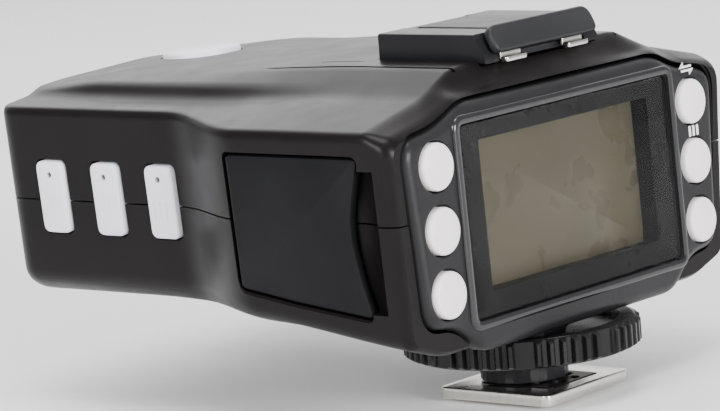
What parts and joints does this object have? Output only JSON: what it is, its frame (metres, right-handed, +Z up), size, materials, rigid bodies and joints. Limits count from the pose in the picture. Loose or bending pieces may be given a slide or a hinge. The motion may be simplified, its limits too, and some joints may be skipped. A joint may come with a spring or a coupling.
{
  "type": "wireless flash trigger",
  "caption": "Hot-shoe radio trigger for studio flashes: wedge-shaped casing with a rear display, keys, port flap, accessory shoe, battery bay and a foot with a locking wheel.",
  "frame": {"origin": "middle of the foot plate's underside", "axes": "+Z up, -Y towards the viewer (the display side), +Y towards the lens, +X to the viewer's right"},
  "size_m": [0.075, 0.0825, 0.0517],
  "materials": {
    "shell_black": "satin black moulded plastic",
    "panel_grey": "dark grey fine-textured plastic",
    "lens_black": "glossy clear window with a black border",
    "lcd_grey": "olive grey reflective display",
    "key_white": "white moulded plastic",
    "rubber_black": "black textured plastic and rubber",
    "nickel": "bright nickel plate",
    "steel": "plain steel",
    "brass": "gold-plated contact brass",
    "shoe_black": "black painted metal",
    "board_green": "green circuit board",
    "cell_wrap": "printed cell sleeve"
  },
  "bodies": {
    "body": {"battery_tray": "shell_black", "bottom_casing": "shell_black", "case_screw_1": "steel", "case_screw_2": "steel", "case_screw_3": "steel", "case_screw_4": "steel", "contact_bridge": "steel", "display_lens": "lens_black", "foot_insert": "shell_black", "foot_plate": "nickel", "foot_post": "shoe_black", "group_key_board": "board_green", "key_board": "board_green", "lcd_backlight": "key_white", "lcd_panel": "lcd_grey", "left_cell": "cell_wrap", "left_hinge_pin": "steel", "left_shoe_spring": "nickel", "main_board": "board_green", "negative_contact": "steel", "positive_contact": "steel", "radio_module": "board_green", "rear_panel": "panel_grey", "right_cell": "cell_wrap", "right_hinge_pin": "steel", "right_shoe_spring": "nickel", "shoe_contact_1": "brass", "shoe_contact_2": "brass", "shoe_contact_3": "brass", "shoe_contact_4": "brass", "shoe_contact_5": "brass", "shoe_rails": "shoe_black", "switch_body": "steel", "sync_jack": "brass", "top_casing": "shell_black", "usb_socket": "steel"},
    "left_top_key": {"left_top_key": "key_white"},
    "left_middle_key": {"left_middle_key": "key_white"},
    "left_bottom_key": {"left_bottom_key": "key_white"},
    "right_top_key": {"right_top_key": "key_white"},
    "right_middle_key": {"right_middle_key": "key_white"},
    "right_bottom_key": {"right_bottom_key": "key_white"},
    "group_a_key": {"group_a_key": "key_white"},
    "group_b_key": {"group_b_key": "key_white"},
    "group_c_key": {"group_c_key": "key_white"},
    "test_key": {"test_key": "key_white"},
    "foot_contact_1": {"foot_contact_1": "brass"},
    "foot_contact_2": {"foot_contact_2": "brass"},
    "foot_contact_3": {"foot_contact_3": "brass"},
    "foot_contact_4": {"foot_contact_4": "brass"},
    "foot_contact_5": {"foot_contact_5": "brass"},
    "washer": {"pressure_washer": "steel"},
    "wheel": {"locking_wheel": "rubber_black"},
    "pin": {"locking_pin": "steel"},
    "cover": {"shoe_cover": "rubber_black"},
    "flap": {"port_flap": "rubber_black"},
    "door": {"battery_door": "shell_black"},
    "switch_knob": {"power_switch": "rubber_black"}
  },
  "joints": [
    {"name": "left_top_press", "type": "slide", "parent": "body", "child": "left_top_key", "axis": [0, 0.9994, -0.0349], "range_m": [0, 0.0005], "stiffness_N_per_m": 800, "springref_m": -0.0004},
    {"name": "left_middle_press", "type": "slide", "parent": "body", "child": "left_middle_key", "axis": [0, 0.9994, -0.0349], "range_m": [0, 0.0005], "stiffness_N_per_m": 800, "springref_m": -0.0004},
    {"name": "left_bottom_press", "type": "slide", "parent": "body", "child": "left_bottom_key", "axis": [0, 0.9994, -0.0349], "range_m": [0, 0.0005], "stiffness_N_per_m": 800, "springref_m": -0.0004},
    {"name": "right_top_press", "type": "slide", "parent": "body", "child": "right_top_key", "axis": [0, 0.9994, -0.0349], "range_m": [0, 0.0005], "stiffness_N_per_m": 800, "springref_m": -0.0004},
    {"name": "right_middle_press", "type": "slide", "parent": "body", "child": "right_middle_key", "axis": [0, 0.9994, -0.0349], "range_m": [0, 0.0005], "stiffness_N_per_m": 800, "springref_m": -0.0004},
    {"name": "right_bottom_press", "type": "slide", "parent": "body", "child": "right_bottom_key", "axis": [0, 0.9994, -0.0349], "range_m": [0, 0.0005], "stiffness_N_per_m": 800, "springref_m": -0.0004},
    {"name": "group_a_press", "type": "slide", "parent": "body", "child": "group_a_key", "axis": [0.9972, 0, 0.075], "range_m": [0, 0.0005], "stiffness_N_per_m": 800, "springref_m": -0.0004},
    {"name": "group_b_press", "type": "slide", "parent": "body", "child": "group_b_key", "axis": [0.9972, 0, 0.075], "range_m": [0, 0.0005], "stiffness_N_per_m": 800, "springref_m": -0.0004},
    {"name": "group_c_press", "type": "slide", "parent": "body", "child": "group_c_key", "axis": [0.9972, 0, 0.075], "range_m": [0, 0.0005], "stiffness_N_per_m": 800, "springref_m": -0.0004},
    {"name": "test_press", "type": "slide", "parent": "body", "child": "test_key", "axis": [0, -0.0698, -0.9976], "range_m": [0, 0.0005], "stiffness_N_per_m": 800, "springref_m": -0.0004},
    {"name": "foot_contact_1_spring", "type": "slide", "parent": "body", "child": "foot_contact_1", "axis": [0, 0, 1], "range_m": [0, 0.0004], "stiffness_N_per_m": 500, "springref_m": -0.0003},
    {"name": "foot_contact_2_spring", "type": "slide", "parent": "body", "child": "foot_contact_2", "axis": [0, 0, 1], "range_m": [0, 0.0004], "stiffness_N_per_m": 500, "springref_m": -0.0003},
    {"name": "foot_contact_3_spring", "type": "slide", "parent": "body", "child": "foot_contact_3", "axis": [0, 0, 1], "range_m": [0, 0.0004], "stiffness_N_per_m": 500, "springref_m": -0.0003},
    {"name": "foot_contact_4_spring", "type": "slide", "parent": "body", "child": "foot_contact_4", "axis": [0, 0, 1], "range_m": [0, 0.0004], "stiffness_N_per_m": 500, "springref_m": -0.0003},
    {"name": "foot_contact_5_spring", "type": "slide", "parent": "body", "child": "foot_contact_5", "axis": [0, 0, 1], "range_m": [0, 0.0004], "stiffness_N_per_m": 500, "springref_m": -0.0003},
    {"name": "wheel_turn", "type": "hinge", "parent": "washer", "child": "wheel", "pos_m": [0, 0.0016, 0.0075], "axis": [0, 0, 1], "range_deg": [0, 270]},
    {"name": "washer_lower", "type": "slide", "parent": "body", "child": "washer", "axis": [0, 0, -1], "range_m": [0, 0.0018]},
    {"name": "pin_lower", "type": "slide", "parent": "body", "child": "pin", "axis": [0, 0, -1], "range_m": [0, 0.0018]},
    {"name": "cover_slide", "type": "slide", "parent": "body", "child": "cover", "axis": [0, -1, 0], "range_m": [0, 0.02]},
    {"name": "flap_hinge", "type": "hinge", "parent": "body", "child": "flap", "pos_m": [-0.03637, 0.01925, 0.03745], "axis": [0.075, 0, -0.9972], "range_deg": [0, 70]},
    {"name": "door_hinge", "type": "hinge", "parent": "body", "child": "door", "pos_m": [0, 0.0623, 0.01615], "axis": [1, 0, 0], "range_deg": [0, 70]},
    {"name": "power_slide", "type": "slide", "parent": "body", "child": "switch_knob", "axis": [0, 1, 0], "range_m": [0, 0.0034]}
  ],
  "couplings": [
    {"joint": "washer_lower", "follows": "wheel_turn", "m_per_rad": 0.00037985},
    {"joint": "pin_lower", "follows": "wheel_turn", "m_per_rad": 0.00037985}
  ]
}
